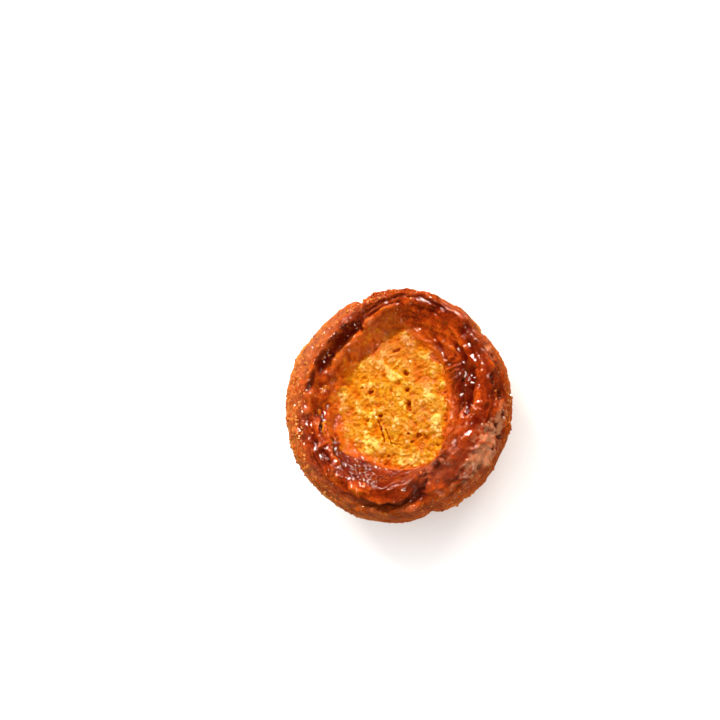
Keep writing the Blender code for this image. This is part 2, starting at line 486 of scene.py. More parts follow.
# Small upright slits beside the seams, where the skin has torn: the angle, the share of the wall's height,
# half length, half width and depth in millimetres.
SLITS = (
    (44, 0.76, 2.6, 0.45, 1.2),
    (49, 0.56, 1.4, 0.40, 0.8),
    (31, 0.64, 1.1, 0.45, 0.8),
    (117, 0.70, 2.0, 0.55, 1.1),
    (123, 0.80, 1.0, 0.40, 0.7),
    (101, 0.58, 2.4, 0.40, 0.9),
    (160, 0.82, 0.9, 0.45, 0.6),
    (193, 0.72, 1.3, 0.60, 0.9),
    (206, 0.50, 1.8, 0.40, 0.8),
    (297, 0.62, 2.2, 0.50, 1.1),
    (303, 0.78, 1.2, 0.45, 0.9),
    (281, 0.46, 1.0, 0.35, 0.6),
)
# Burst bubbles in the lip: the angle, the station, half width, half height and depth in millimetres.
PITS = (
    (-4, 3.42, 1.5, 0.9, 1.6),
    (3, 3.70, 1.9, 0.7, 1.6),
    (-13, 3.30, 1.1, 0.9, 1.3),
    (-19, 3.42, 0.8, 0.8, 1.1),
    (-24, 3.20, 1.3, 1.0, 1.4),
    (-9, 3.10, 1.0, 0.8, 1.2),
    (9, 3.34, 0.9, 0.6, 1.0),
    (-16, 3.04, 0.9, 0.9, 1.1),
    (-30, 3.34, 0.8, 0.6, 0.8),
    (16, 3.52, 0.9, 0.5, 0.9),
)


def torn(station, angle, places):
    """How deep each point lies in the notches, slits and pits of the wall and lip."""
    wobble = angle + np.radians(1.2 * lumps(places, 2.5, 63))
    ragged = 1 + 0.45 * lumps(places, 1.6, 87) + 0.25 * lumps(places, 0.8, 88)
    across = WALL_RADIUS * math.radians(1)
    height = station - WALL_FOOT
    depth = np.zeros_like(station)
    for seam, _, groove, _ in SEAMS:
        up_notch = (height - NOTCH_FOOT) / (NOTCH_TOP - NOTCH_FOOT)
        half_width = 0.3 + NOTCH_WIDTH * np.clip(up_notch, 0, 1)
        aside = turn(wobble, seam - SEAM_GROOVE_WIDTH) * across / half_width
        notch = smooth(up_notch / 0.3) * smooth((0.80 - up_notch) / 0.35) * smooth(1.4 - np.abs(aside))
        depth = np.maximum(depth, NOTCH_DEPTH * groove * notch)
    for place, share, long, wide, deep in SLITS:
        upward = (height - share) * WALL_RUN / long
        east = turn(wobble, place) * across / (wide * (1 + 0.8 * np.clip(upward, -0.9, 1)))
        depth = np.maximum(depth, deep * smooth(1.5 - np.hypot(east, upward) * ragged))
    for place, middle_station, long, wide, deep in PITS:
        east = turn(wobble, place) * across / long
        upward = (station - middle_station) * LIP_RUN / wide
        depth = np.maximum(depth, deep * smooth(1.5 - np.hypot(east, upward) * ragged))
    return depth


# Where the skin is golden, mostly beside the seams, and where it is dusky, in the way that patches() reads.
GOLD_PATCHES = [(1.0, 165, 55, 3.20, 0.55), (0.8, 230, 30, 3.10, 0.35)]
for seam, *_ in SEAMS:
    GOLD_PATCHES += [(1.0, seam + 9, 7, 2.65, 0.35), (0.6, seam + 32, 9, 2.30, 0.25)]
DUSKY_PATCHES = (
    (1.0, 142, 36, 3.58, 0.22),
    (0.6, 225, 24, 3.52, 0.14),
    (0.7, 60, 40, 3.15, 0.20),
    (0.5, 262, 24, 3.28, 0.12),
)

relief = crumpled(station, angle, places)
tears = torn(station, angle, places)
edge = glaze_edge(angle, places)
skin = smooth((station - 1.0) / 0.6)
near, lot = cells(places, 1.5, 64)
grain = 0.30 * (0.5 - near) * skin + 0.18 * ridged(places, 1.7, 65) * skin
base = 1 - smooth((station - 0.96) / 0.1)
near, lot = cells(places, 4.2, 66)
blisters = 0.9 * smooth(1.4 - near / 0.33) * (lot < 0.5)
bubbles = base * (0.25 + blisters + 0.3 * np.abs(lumps(places, 7.0, 67)))
sunk = 1.7 * smooth((station - edge - 0.22) / 0.3) + 3.0 * smooth((station - 4.15) / 0.3)
gold = patches(angle, station, GOLD_PATCHES)
dusk = patches(angle, station, DUSKY_PATCHES)
put_points(crust, places + normals * (relief + grain - tears - bubbles - sunk)[:, None])
keep_values(
    crust,
    brown=smooth((station - edge + 0.75) / 0.75) * 0.8 + 0.5 * smooth((station - 2.0) / 1.2),
    # painted shade: the crust is browner in the low places of its relief and in its creases
    hollow=np.clip(0.4 - 0.9 * (relief + grain) - 0.25 * stand_out, 0, 1),
    # painted shade: the notches, slits and pits are darkened
    tear=np.clip(tears / 0.9, 0, 1),
    foot=1 - smooth((station - 1.6) / 0.7),
    base=base,
    gold=np.clip(gold, 0, 1),
    dusk=np.clip(dusk, 0, 1),
)


class Finish:
    """A value on its way through a material's nodes: an expression on it adds its Math nodes."""

    def __init__(self, tree, socket=None):
        self.tree = tree
        self.socket = socket

    def node(self, kind, settings, inputs, out=0):
        """Any node: its settings are set first, then the values or links of its sockets."""
        made = self.tree.nodes.new("ShaderNode" + kind)
        stops = settings.pop("stops", None)
        for name, value in settings.items():
            setattr(made, name, value)
        if stops:
            ramp = made.color_ramp
            while len(ramp.elements) < len(stops):
                ramp.elements.new(1.0)
            for element, (place, colour) in zip(ramp.elements, stops):
                element.position = place
                element.color = (*colour, 1)
        for name, value in inputs.items():
            if isinstance(value, Finish):
                self.tree.links.new(value.socket, made.inputs[name])
            else:
                made.inputs[name].default_value = value
        return Finish(self.tree, made.outputs[out])

    def math(self, operation, *values):
        return self.node("Math", {"operation": operation}, dict(enumerate(values)))

    def __add__(self, other):
        return self.math("ADD", self, other)

    def __mul__(self, other):
        return self.math("MULTIPLY", self, other)

    def __sub__(self, other):
        return self.math("SUBTRACT", self, other)

    def __rsub__(self, other):
        return self.math("SUBTRACT", other, self)

    __radd__ = __add__
    __rmul__ = __mul__

    def between(self, low, high):
        """0 below low, 1 above high, smooth between them."""
        limits = {"Value": self, "From Min": low, "From Max": high}
        return self.node("MapRange", {"interpolation_type": "SMOOTHSTEP"}, limits)

    def bump(self, strength, distance):
        """A normal from this height, with bumps up to this many millimetres."""
        return self.node("Bump", {}, {"Height": self, "Strength": strength, "Distance": distance * MM})

    def colours(self, colour, *layers):
        """A colour with others laid over it in turn, each by its share."""
        for tint, share in layers:
            below = colour if isinstance(colour, Finish) else (*colour, 1)
            inputs = {0: share, 6: below, 7: (*tint, 1)}
            colour = self.node("Mix", {"data_type": "RGBA"}, inputs, out=2)
        return colour

    def kept(self, name):
        """A number kept at each point of the piece."""
        return self.node("Attribute", {"attribute_name": name}, {}, out="Fac")

    def noise(self, size, detail=3.0, roughness=0.55):
        """Noise from 0 to 1 with lumps of about this many millimetres."""
        where = self.node("TexCoord", {}, {}, out="Object")
        inputs = {"Vector": where, "Scale": 1 / (size * MM), "Detail": detail, "Roughness": roughness}
        return self.node("TexNoise", {}, inputs, out=0)


def new_finish(piece, name):
    """A piece's material: its Principled shader, and a blank value to start expressions from."""
    material = bpy.data.materials.new(name)
    material.use_nodes = True
    piece.data.materials.append(material)
    return material.node_tree.nodes["Principled BSDF"], Finish(material.node_tree)


def set_sockets(shader, **values):
    """Sets a shader's sockets by name, each to a number, a colour or a value worked out over the surface."""
    for name, value in values.items():
        socket = shader.inputs[name.replace("_", " ")]
        if isinstance(value, Finish):
            value.tree.links.new(value.socket, socket)
        else:
            socket.default_value = value


def soaked(shader, weight, depth, tint):
    """Lets light into a surface, this many millimetres deep for each of three colours."""
    set_sockets(shader, Subsurface_Weight=weight, Subsurface_Scale=depth * MM, Subsurface_Radius=tint)


GOLDEN = (0.76, 0.210, 0.027)
STRAW = (0.88, 0.350, 0.050)
RUSSET = (0.54, 0.090, 0.009)
BROWN = (0.24, 0.035, 0.005)
# painted shade for the insides of the notches, slits and pits
DEEP = (0.09, 0.009, 0.002)
DUSK = (0.33, 0.088, 0.040)

shader, start = new_finish(crust, "butter_crust")
mottle = start.noise(7.0, 4.0, 0.6)
blot = start.noise(3.0, 4.0, 0.65)
freckle = start.noise(0.9, 3.0, 0.6)
brown = start.kept("brown") + 0.9 * (mottle - 0.5) + 0.5 * (blot - 0.5) - 0.5 * start.kept("gold")
colour = start.colours(
    GOLDEN,
    (STRAW, (1 - mottle).between(0.46, 0.66) * (1 - brown.between(0.2, 0.7))),
    (STRAW, start.kept("foot") * 0.6),
    (RUSSET, brown.between(0.25, 0.75)),
    (BROWN, brown.between(0.75, 1.5) * 0.8),
    (DUSK, start.kept("dusk") * blot.between(0.25, 0.50) * 0.85),
    (STRAW, start.kept("gold") * (1 - blot).between(0.44, 0.60) * 0.5),
    (RUSSET, freckle.between(0.54, 0.72) * 0.6),
    (STRAW, (1 - freckle).between(0.54, 0.70) * 0.40),
    # painted shade: browner in the low places and creases of the crust
    (BROWN, start.kept("hollow").between(0.5, 1.0) * 0.6),
    (BROWN, start.kept("base") * (0.45 + 0.4 * blot)),
    # painted shade inside the notches, slits and pits
    (DEEP, start.kept("tear").between(0.3, 1.0) * 0.8),
)
wet = 0.75 * blot.between(0.48, 0.60) + 0.10
bumps = start.noise(0.9, 4.0, 0.65) + 0.5 * start.noise(0.3, 3.0, 0.6)
set_sockets(
    shader,
    Base_Color=colour,
    Roughness=0.50 + 0.35 * (freckle - 0.5) - 0.1 * brown.between(0.3, 1.0),
    Coat_Weight=wet * (1 - 0.7 * start.kept("gold")),
    Normal=bumps.bump(0.8, 0.25),
    IOR=1.4,
    Specular_IOR_Level=0.22,
    Coat_Roughness=0.16,
    Coat_IOR=1.45,
)
soaked(shader, 0.25, 1.2, (1.0, 0.35, 0.08))
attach(crust, "root")
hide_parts("kouign_amann")

# --------------------------------------------------------------------
# The caramel: butter and sugar that ran out of the layers and set on the rim as a sticky lacquer. It is
# amber where it is thin, oxblood where it has collected in the creases, which are darkened further with
# painted shade, and nearly black along the crests that burnt, and it thins out over the crumb.
# --------------------------------------------------------------------
GLAZE_ROWS = 102
GLAZE_UNDER_ROWS = 6
GLAZE_SEGMENTS = 900
GLAZE_FOOT = 3.3
GLAZE_LEAD = 0.28  # how far below the edge of the caramel its mesh begins
GLAZE_END = 5.02
GLAZE_UNDER = 1.5  # how deep its underside lies in the dough, in millimetres
GLAZE_SINK = 0.11  # over which it dives into the crumb at its end

# Where the caramel is smooth, speckled, beaded, rough, burnt, collected deep and darkened with painted
# shade, matt, streaked with pale sugar under a painted sheen, or fiery orange, in the way that patch() and
# patches() read.
SMOOTH_PATCHES = ((1.0, 130, 20, 4.50, 0.20), (1.0, 50, 14, 3.88, 0.08))
SMOOTH_SLOPE = (246, 26, 4.38, 0.24)
SMOOTH_FOLD = (50, 14, 3.88, 0.10)
SPECKLED_PATCH = (85, 30, 4.50, 0.30)
GRAINY_PATCH = (85, 30, 4.45, 0.26)
BEADED_CRESTS = ((0.30, 140, 26, 4.19, 0.08), (0.26, 142, 26, 4.05, 0.08))
DENTED_CREST = (142, 28, 4.06, 0.09)
RUGGED_PATCHES = ((1.0, 26, 34, 3.55, 0.25), (1.0, 86, 22, 3.70, 0.25), (0.8, 304, 14, 4.05, 0.26))
COARSE_PATCHES = ((1.0, 98, 14, 3.80, 0.45), (0.9, 303, 14, 4.12, 0.30), (0.8, 262, 22, 4.42, 0.24))
BURNT_PATCHES = (
    (0.80, 150, 20, 4.07, 0.07),
    (0.60, 172, 12, 4.07, 0.07),
    (0.80, 122, 12, 4.07, 0.07),
    (0.85, 6, 14, 4.46, 0.27),
    (0.60, 26, 14, 3.92, 0.16),
    (1.25, 302, 14, 4.16, 0.26),
    (0.15, 262, 24, 3.95, 0.25),
    (0.45, 225, 18, 4.05, 0.16),
    (0.45, 72, 22, 4.02, 0.14),
    (0.60, 0, 12, 3.7, 0.2),
)
# Darker where the caramel has collected, and painted shade in the creases, most of all inside the ridge.
POOLED_PATCHES = (
    (0.30, 135, 24, 4.17, 0.04),
    (-0.45, 135, 28, 4.32, 0.08),
    (0.30, 2, 14, 4.48, 0.24),
    (0.45, 265, 26, 4.50, 0.25),
    (0.20, 222, 22, 4.35, 0.30),
    (0.65, 256, 24, 4.34, 0.22),
    (0.35, 30, 26, 3.60, 0.22),
    (0.30, 50, 18, 3.75, 0.20),
)
MATT_PATCHES = (
    (1.0, 142, 32, 3.82, 0.15),
    (1.0, 303, 16, 4.08, 0.28),
    (0.6, 225, 22, 3.72, 0.13),
    (0.6, 190, 14, 3.95, 0.10),
    (0.5, 262, 20, 3.62, 0.12),
    (0.7, 36, 26, 3.50, 0.16),
)
# Pale sugar streaks, painted paler still as a painted reflection of a broad light.
VEILED_PATCHES = (
    (1.0, 332, 12, 3.48, 0.32),
    (1.0, 318, 11, 3.36, 0.28),
    (0.5, 22, 12, 3.58, 0.10),
    (0.6, 348, 8, 3.30, 0.20),
)
FIERY_PATCHES = (
    (1.0, 340, 18, 4.80, 0.16),
    (0.8, 5, 14, 4.90, 0.08),
    (0.8, 60, 16, 4.80, 0.16),
    (0.9, 92, 22, 4.62, 0.20),
    (0.5, 48, 12, 4.45, 0.20),
    (0.8, 130, 22, 4.50, 0.18),
    (0.6, 205, 30, 4.72, 0.15),
    (0.4, 275, 20, 4.70, 0.15),
)

span = GLAZE_END - GLAZE_FOOT
over = [GLAZE_FOOT + span * row / GLAZE_ROWS for row in range(GLAZE_ROWS + 1)]
under = [GLAZE_END - span * (row + 1) / (GLAZE_UNDER_ROWS + 1) for row in range(GLAZE_UNDER_ROWS)]
glaze = turned_round("caramel", over + under + over[:1], GLAZE_SEGMENTS, under_from=len(over))
row = values_of(glaze, "row")
row = np.where(row > GLAZE_ROWS + GLAZE_UNDER_ROWS + 0.5, 0, row)  # the last row is the first one again
places = points_of(glaze)
angle = np.arctan2(places[:, 1], places[:, 0])
below = row > GLAZE_ROWS + 0.5
share = np.where(below, 1 - (row - GLAZE_ROWS) / (GLAZE_UNDER_ROWS + 1), row / GLAZE_ROWS)
first = around(GLAZE_START, angle) - GLAZE_LEAD
station = first + (GLAZE_END - first) * share
places, stand_out = folded(station, angle)
places -= middle
put_points(glaze, places - np.array([0, 0, UNDERSIDE_DROP]) * below[:, None])
normals = normals_of(glaze) * np.where(below, -1, 1)[:, None]
level = smooth((station - 4.6) / 0.25)[:, None]
normals = normals * (1 - level) + np.array([0, 0, 1]) * level

toward_left = smooth((np.cos(angle - math.radians(155)) + 0.25) / 0.7)
edge = glaze_edge(angle, places)
glassy = smooth(0.5 + 1.5 * lumps(places, 6.0, 71))
glassy = np.maximum(glassy, patches(angle, station, SMOOTH_PATCHES))
glassy = np.maximum(glassy, 0.6 * patch(angle, station, *SMOOTH_SLOPE))
glassy *= 1 - 0.8 * patch(angle, station, *SPECKLED_PATCH)
rugged = patches(angle, station, RUGGED_PATCHES)
coarse = np.clip(patches(angle, station, COARSE_PATCHES) + 0.6 * rugged, 0, 1)
coarse *= 1 - 0.9 * patch(angle, station, *SMOOTH_FOLD)
dull = 1 - 0.80 * glassy
relief = crumpled(station, angle, places)
on_crest = smooth(0.55 + 0.9 * relief + 0.25 * stand_out)
speckled = smooth(0.2 + 1.4 * lumps(places, 7.0, 82))
speckled = np.maximum(speckled, patch(angle, station, *SPECKLED_PATCH))
crumple = 0.28 * ridged(places, 4.6, 72) * (1 - 0.5 * glassy) + 0.12 * ridged(places, 2.3, 73) * dull
crumple += rugged * (0.42 * ridged(places, 2.8, 84) + 0.18 * ridged(places, 1.3, 85))
near, lot = cells(places, 2.2, 74)
blisters = 0.34 * smooth(1.0 - near / 0.62) * (lot < 0.55) * dull
near, lot = cells(places, 1.1, 75)
bead = smooth(1.0 - near / 0.62)
beads = 0.30 * bead * dull * (0.1 + 0.9 * speckled) + 0.28 * coarse * (0.5 - near)
beads += 0.26 * patch(angle, station, *GRAINY_PATCH) * bead
for height, *crest in BEADED_CRESTS:
    beads += height * smooth(1.0 - near / 0.7) * patch(angle, station, *crest) * (lot < 0.7)
beads -= 0.24 * smooth(0.5 + 1.5 * lumps(places, 1.4, 86)) * patch(angle, station, *DENTED_CREST)
wet = (0.05 + 0.06 * speckled) * lumps(places, 0.8, 76) * dull
fine = crumple + (blisters + beads + wet) * (0.25 + 0.75 * on_crest)
thickness = 0.42 * smooth((station - edge) / 0.25) - 0.28 + 0.12 * lumps(places, 2.6, 77)
thinning = 4.50 + 0.54 * (1 - toward_left)
thinning = thinning + 0.22 * lumps(places, 4.0, 78) + 0.12 * lumps(places, 1.6, 79)
thickness -= 1.7 * toward_left * smooth((station - thinning) / 0.3)
thickness += 0.75 * (1 - toward_left) * hump((station - 4.88) / 0.08)
tears = torn(station, angle, places)
growing = smooth((station - first) / 0.12)
out = np.where(below, -GLAZE_UNDER, relief + fine * growing + thickness - tears)
out -= 1.6 * smooth((station - GLAZE_END + GLAZE_SINK) / GLAZE_SINK) ** 2 * (1 - below)
put_points(glaze, places + normals * out[:, None])

streaked = smooth(0.5 + 1.4 * streaks(station * 0.7, 57 * angle, 3.0, 2.2, 83))
broken = smooth(0.62 + 1.3 * lumps(places, 3.0, 80) + 0.5 * lumps(places, 1.2, 81))
# Darker where the caramel has collected in low places and creases, which is also painted shade there.
pooled = 0.55 + patches(angle, station, POOLED_PATCHES) - 0.34 * (relief + fine)
pooled = pooled - 0.10 * stand_out - 0.12 * np.minimum(stand_out, 0)
keep_values(
    glaze,
    burn=np.clip(patches(angle, station, BURNT_PATCHES) * (0.25 + broken), 0, 1),
    # pale sugar streaks with a painted sheen over them, on the lower right of the lip
    veil=np.clip(patches(angle, station, VEILED_PATCHES) * (0.35 + 0.65 * streaked), 0, 1),
    dusk=np.clip(patches(angle, station, MATT_PATCHES), 0, 1),
    fire=np.clip(patches(angle, station, FIERY_PATCHES), 0, 1),
    coarse=coarse,
    thick=np.clip(pooled, 0, 1.2),
    thin=np.clip(1 - (thickness + 0.2) / 0.3, 0, 1) * smooth((station - 4.4) / 0.2),
    rim=1 - smooth((station - edge - 0.05) / 0.3),
    glow=smooth((station - 4.76) / 0.20),
    # painted shade: the notches, slits and pits are darkened
    tear=np.clip(tears / 0.9, 0, 1),
)

AMBER = (0.54, 0.094, 0.007)
ORANGE = (0.41, 0.050, 0.004)
GLOW = (0.60, 0.105, 0.003)
CARAMEL = (0.235, 0.021, 0.003)
OXBLOOD = (0.100, 0.0045, 0.001)
BURNT = (0.042, 0.0045, 0.0018)
PLUM = (0.120, 0.0120, 0.0035)
# pale sugar colour that is also a painted sheen, as of a broad light reflected in the lower right wall
BLOOM = (0.62, 0.265, 0.125)

shader, start = new_finish(glaze, "caramel_lacquer")
mottle = start.noise(6.0, 4.0, 0.6)
blot = start.noise(2.4, 4.0, 0.6)
freckle = start.noise(0.8, 3.0, 0.6)
# painted shade: the darkening follows the creases and low places as well as the collected caramel
depth = start.kept("thick") + 0.8 * (mottle - 0.5) + 0.50 * (blot - 0.5) + 0.85 * (freckle - 0.5)
stops = ((0.0, AMBER), (0.20, ORANGE), (0.46, CARAMEL), (0.78, OXBLOOD), (1.0, OXBLOOD))
burnt = start.kept("burn") * (0.55 + 0.9 * blot)
colour = start.colours(
    start.node("ValToRGB", {"stops": stops}, {"Fac": depth - 0.5 * start.kept("fire")}),
    (RUSSET, start.kept("rim") * (0.5 + 0.5 * blot)),
    (RUSSET, start.kept("coarse") * freckle.between(0.4, 0.65) * 0.7),
    (OXBLOOD, start.kept("coarse") * (1 - freckle).between(0.44, 0.62) * 0.8),
    (DUSK, start.kept("dusk") * blot.between(0.26, 0.56) * 0.9),
    (AMBER, start.kept("thin") * 0.85),
    (GLOW, start.kept("glow") * 0.8),
    (PLUM, burnt.between(0.15, 0.6) * 0.75),
    (BURNT, burnt.between(0.55, 1.05) * 0.75),
    # pale sugar streaks with a painted sheen over them
    (BLOOM, start.kept("veil").between(0.1, 0.8) * 0.75),
    # painted shade inside the notches, slits and pits
    (DEEP, start.kept("tear").between(0.2, 0.9) * 0.9),
)
matte = 0.75 * start.kept("coarse") + 0.5 * start.kept("dusk") + 0.3 * start.kept("rim")
bumps = start.noise(0.8, 3.0, 0.6) + 0.5 * start.noise(0.28, 2.0, 0.5)
set_sockets(
    shader,
    Base_Color=colour,
    Roughness=0.34 + 0.2 * start.kept("coarse") + 0.5 * (blot - 0.5),
    Coat_Weight=start.math("MAXIMUM", 1 - matte, 0.1),
    Normal=bumps.bump(0.7, 0.22),
    IOR=1.4,
    Specular_IOR_Level=0.0,
    Coat_Roughness=0.035,
    Coat_IOR=1.5,
)
soaked(shader, 0.35, 0.8, (1.0, 0.25, 0.05))
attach(glaze, "root")

# --------------------------------------------------------------------
# The heart: the open middle of the dough, where the folded corners don't meet. Its torn layers have soaked
# up butter and syrup, so it is a wet yellow sponge of lumps, ribs and pores that browns to amber where it
# climbs to the rim.
# --------------------------------------------------------------------
CRUMB_PITCH = 0.185
CRUMB_HALF = 34.0  # half the side of the square that it is cut from
CRUMB_MARGIN = 2.2  # how far it runs on under the caramel
CRUMB_CLIMB = 6.0  # how much further it climbs the slope on the left
CRUMB_DEPTH = 5.0
CRUMB_EDGE = 1.6  # how far it dips under the caramel on the right
CALM_PATCH = (127, 9, 4.56, 0.10)
SYRUPY_PATCH = (108, 16, 4.95, 0.25)
BAKED_PATCHES = ((1.0, 95, 40, 5.22, 0.28), (0.5, 175, 30, 5.10, 0.15))

# Holes: their places east and north, half width and half length, the turn in degrees and the depth.
CRUMB_HOLES = (
    (5.3, -1.4, 0.75, 1.5, 8, 1.9),
    (0.6, 19.2, 1.3, 0.5, 20, 1.0),
    (8.8, -12.0, 0.8, 0.7, 0, 1.3),
    (5.0, -11.3, 0.45, 0.4, 0, 1.0),
    (6.2, -14.2, 0.6, 0.3, 0, 1.0),
    (4.2, 10.8, 0.7, 0.9, 30, 1.3),
    (4.6, 4.6, 0.5, 0.5, 0, 1.2),
    (-5.0, -4.2, 0.6, 0.55, 0, 1.4),
    (-8.6, 4.6, 0.9, 0.6, 20, 1.2),
)
# Slits between torn layers: where each starts and ends, its half width and its depth.
CRUMB_SLITS = (
    ((-6.2, -5.6), (-4.6, -9.0), 0.24, 1.0),
    ((-4.9, -8.8), (-3.6, -13.4), 0.26, 1.0),
    ((-3.3, -9.2), (-1.2, -14.3), 0.22, 0.9),
    ((-1.4, -14.2), (2.2, -15.0), 0.20, 0.6),
)


def curds(points, size, seed):
    """Rounded lumps of about the given size that melt into each other, from about -0.5 to 0.5."""
    place = points / size
    cell = np.floor(place).astype(int)
    total = np.full(len(points), 1e-4)
    for offset in np.ndindex(3, 3, 3):
        neighbour = cell + offset - 1
        chance = drawn(neighbour, seed)
        distance = np.sum((neighbour + chance[:, :3] - place) ** 2, axis=1)
        total += (0.4 + chance[:, 3]) * np.exp(-7.0 * distance)
    return 0.5 + 0.35 * np.log(total)


def sponge(points):
    """Relief of the torn, syrupy crumb, and how deep in a pore each point lies, from 0 to 1."""
    sway = np.stack([lumps(points, 2.6, seed) for seed in (31, 32, 33)], axis=1)
    jittered = points + 0.16 * np.stack([lumps(points, 0.9, seed) for seed in (34, 35, 36)], axis=1)
    warped = jittered + 0.6 * sway
    relief = 0.60 * lumps(warped, 6.0, 1)
    relief += 0.50 * curds(warped * (1, 0.8, 1), 3.0, 2)
    relief += 0.32 * curds(jittered, 1.5, 3) * (0.6 + 0.8 * smooth(0.5 + lumps(points, 4.0, 37)))
    relief += 0.22 * curds(jittered, 0.75, 4) + 0.16 * ridged(jittered, 2.2, 5)
    pores = np.zeros(len(points))
    for size, seed, depth in ((4.2, 6, 0.9), (2.3, 7, 0.5)):
        near, lot = cells(warped, size, seed)
        pit = smooth(1.5 - near / (0.22 * (0.6 + 2.0 * lot))) * (lot < 0.20)
        relief -= depth * pit
        pores = np.maximum(pores, 0.5 * pit)
    return relief, pores


def heart_reach(places):
    """Distance and bearing of each point from the middle the dough was turned about."""
    east = places[:, 0] + middle[0]
    north = places[:, 1] + middle[1]
    return np.hypot(east, north), np.arctan2(north, east)


def climbing(bearing):
    """1 on the left, where the crumb climbs the slope to the rim, and 0 on the right."""
    return smooth((np.cos(bearing - math.radians(150)) + 0.2) / 0.8)


crumb_mesh = bmesh.new()
cuts = int(2 * CRUMB_HALF / CRUMB_PITCH)
bmesh.ops.create_grid(crumb_mesh, x_segments=cuts, y_segments=cuts, size=CRUMB_HALF * MM)
reach, bearing = heart_reach(np.array([point.co[:] for point in crumb_mesh.verts]) / MM)
limit = around(HEART_OUTLINE, bearing) + CRUMB_MARGIN + CRUMB_CLIMB * climbing(bearing)
spare = [point for point, gone in zip(crumb_mesh.verts, reach > limit) if gone]
bmesh.ops.delete(crumb_mesh, geom=spare, context="VERTS")
border = [side for side in crumb_mesh.edges if side.is_boundary]
skirt = bmesh.ops.extrude_edge_only(crumb_mesh, edges=border)
lower = [part for part in skirt["geom"] if isinstance(part, bmesh.types.BMVert)]
bmesh.ops.translate(crumb_mesh, verts=lower, vec=(0, 0, -CRUMB_DEPTH * MM))
open_sides = [side for side in crumb_mesh.edges if side.is_boundary]
bmesh.ops.holes_fill(crumb_mesh, edges=open_sides, sides=0)
bmesh.ops.recalc_face_normals(crumb_mesh, faces=crumb_mesh.faces[:])
crumb = finished("crumb", crumb_mesh)
places = points_of(crumb)
below = places[:, 2] < -0.5 * CRUMB_DEPTH
reach, bearing = heart_reach(places)
rim = around(RIM_OUTLINE, bearing)
heart = around(HEART_OUTLINE, bearing)
station = np.where(reach > heart, HEART_EDGE - (reach - heart) / (rim - heart), HEART - reach / heart)
surface, stand_out = folded(station, bearing)
flat_places = places * (1, 1, 0)
relief, pores = sponge(flat_places)
wobble = np.stack([lumps(flat_places, 1.2, seed) for seed in (41, 42)], axis=1)
wobble = flat_places[:, :2] + 0.35 * wobble
for east_place, north_place, wide, long, lean, depth in CRUMB_HOLES:
    east = wobble[:, 0] - east_place
    north = wobble[:, 1] - north_place
    tilt = math.radians(lean)
    across = (east * math.cos(tilt) + north * math.sin(tilt)) / wide
    upward = (north * math.cos(tilt) - east * math.sin(tilt)) / long
    hole = smooth(1.75 - np.hypot(across, upward))
    relief -= 0.85 * depth * hole
    pores = np.maximum(pores, hole)
for start_point, end_point, width, depth in CRUMB_SLITS:
    begin = np.array(start_point)
    course = np.array(end_point) - begin
    along = np.clip((wobble - begin) @ course / (course @ course), 0, 1)
    away = np.hypot(*(wobble - begin - along[:, None] * course).T) / width
    slit = smooth(1.7 - away)
    relief -= depth * slit
    pores = np.maximum(pores, slit * 0.8)
left = climbing(bearing)
outer = smooth((5.02 - station) / 0.2)
calm = 0.25 * outer + 0.7 * patch(bearing, station, *CALM_PATCH)
relief = relief * np.clip(1 - calm, 0, 1) + 0.15
under_ring = smooth((5.0 - station) / 0.3)
rise = surface[:, 2] + relief + under_ring * crumpled(station, bearing, surface - middle)
rise -= CRUMB_EDGE * smooth((4.95 - station) / 0.12) * (1 - left)
low = HEART_HEIGHT - CRUMB_DEPTH
put_points(crumb, np.stack([places[:, 0], places[:, 1], np.where(below, low, rise)], axis=1))
syrupy = 0.25 * patch(bearing, station, *SYRUPY_PATCH)
syrupy = syrupy + 0.20 * lumps(flat_places, 4.5, 43) + 0.10 * lumps(flat_places, 1.6, 44)
amber = smooth((5.08 - 0.06 * left + 0.7 * syrupy - station) / (0.16 + 0.30 * left))
baked = patches(bearing, station, BAKED_PATCHES)
# painted light: the tops of the lumps are painted paler as if lit, the hollows more orange as if shaded
high = np.clip(0.5 + relief * 0.7, 0, 1)
# painted shade in the pores, holes and slits
keep_values(crumb, pore=pores, high=high, amber=amber, baked=np.clip(baked, 0, 1))

CRUMB_YELLOW = (0.56, 0.228, 0.005)
# painted highlight for the tops of the lumps
CRUMB_PALE = (0.79, 0.550, 0.110)
CRUMB_ORANGE = (0.56, 0.118, 0.001)
CRUMB_BROWN = (0.36, 0.040, 0.001)

shader, start = new_finish(crumb, "syrupy_crumb")
speck = start.noise(1.0, 3.0, 0.6)
cloud = start.noise(5.0, 3.0, 0.5)
high = start.kept("high") + 0.35 * (speck - 0.5)
beside = start.kept("amber").between(0.0, 0.4)
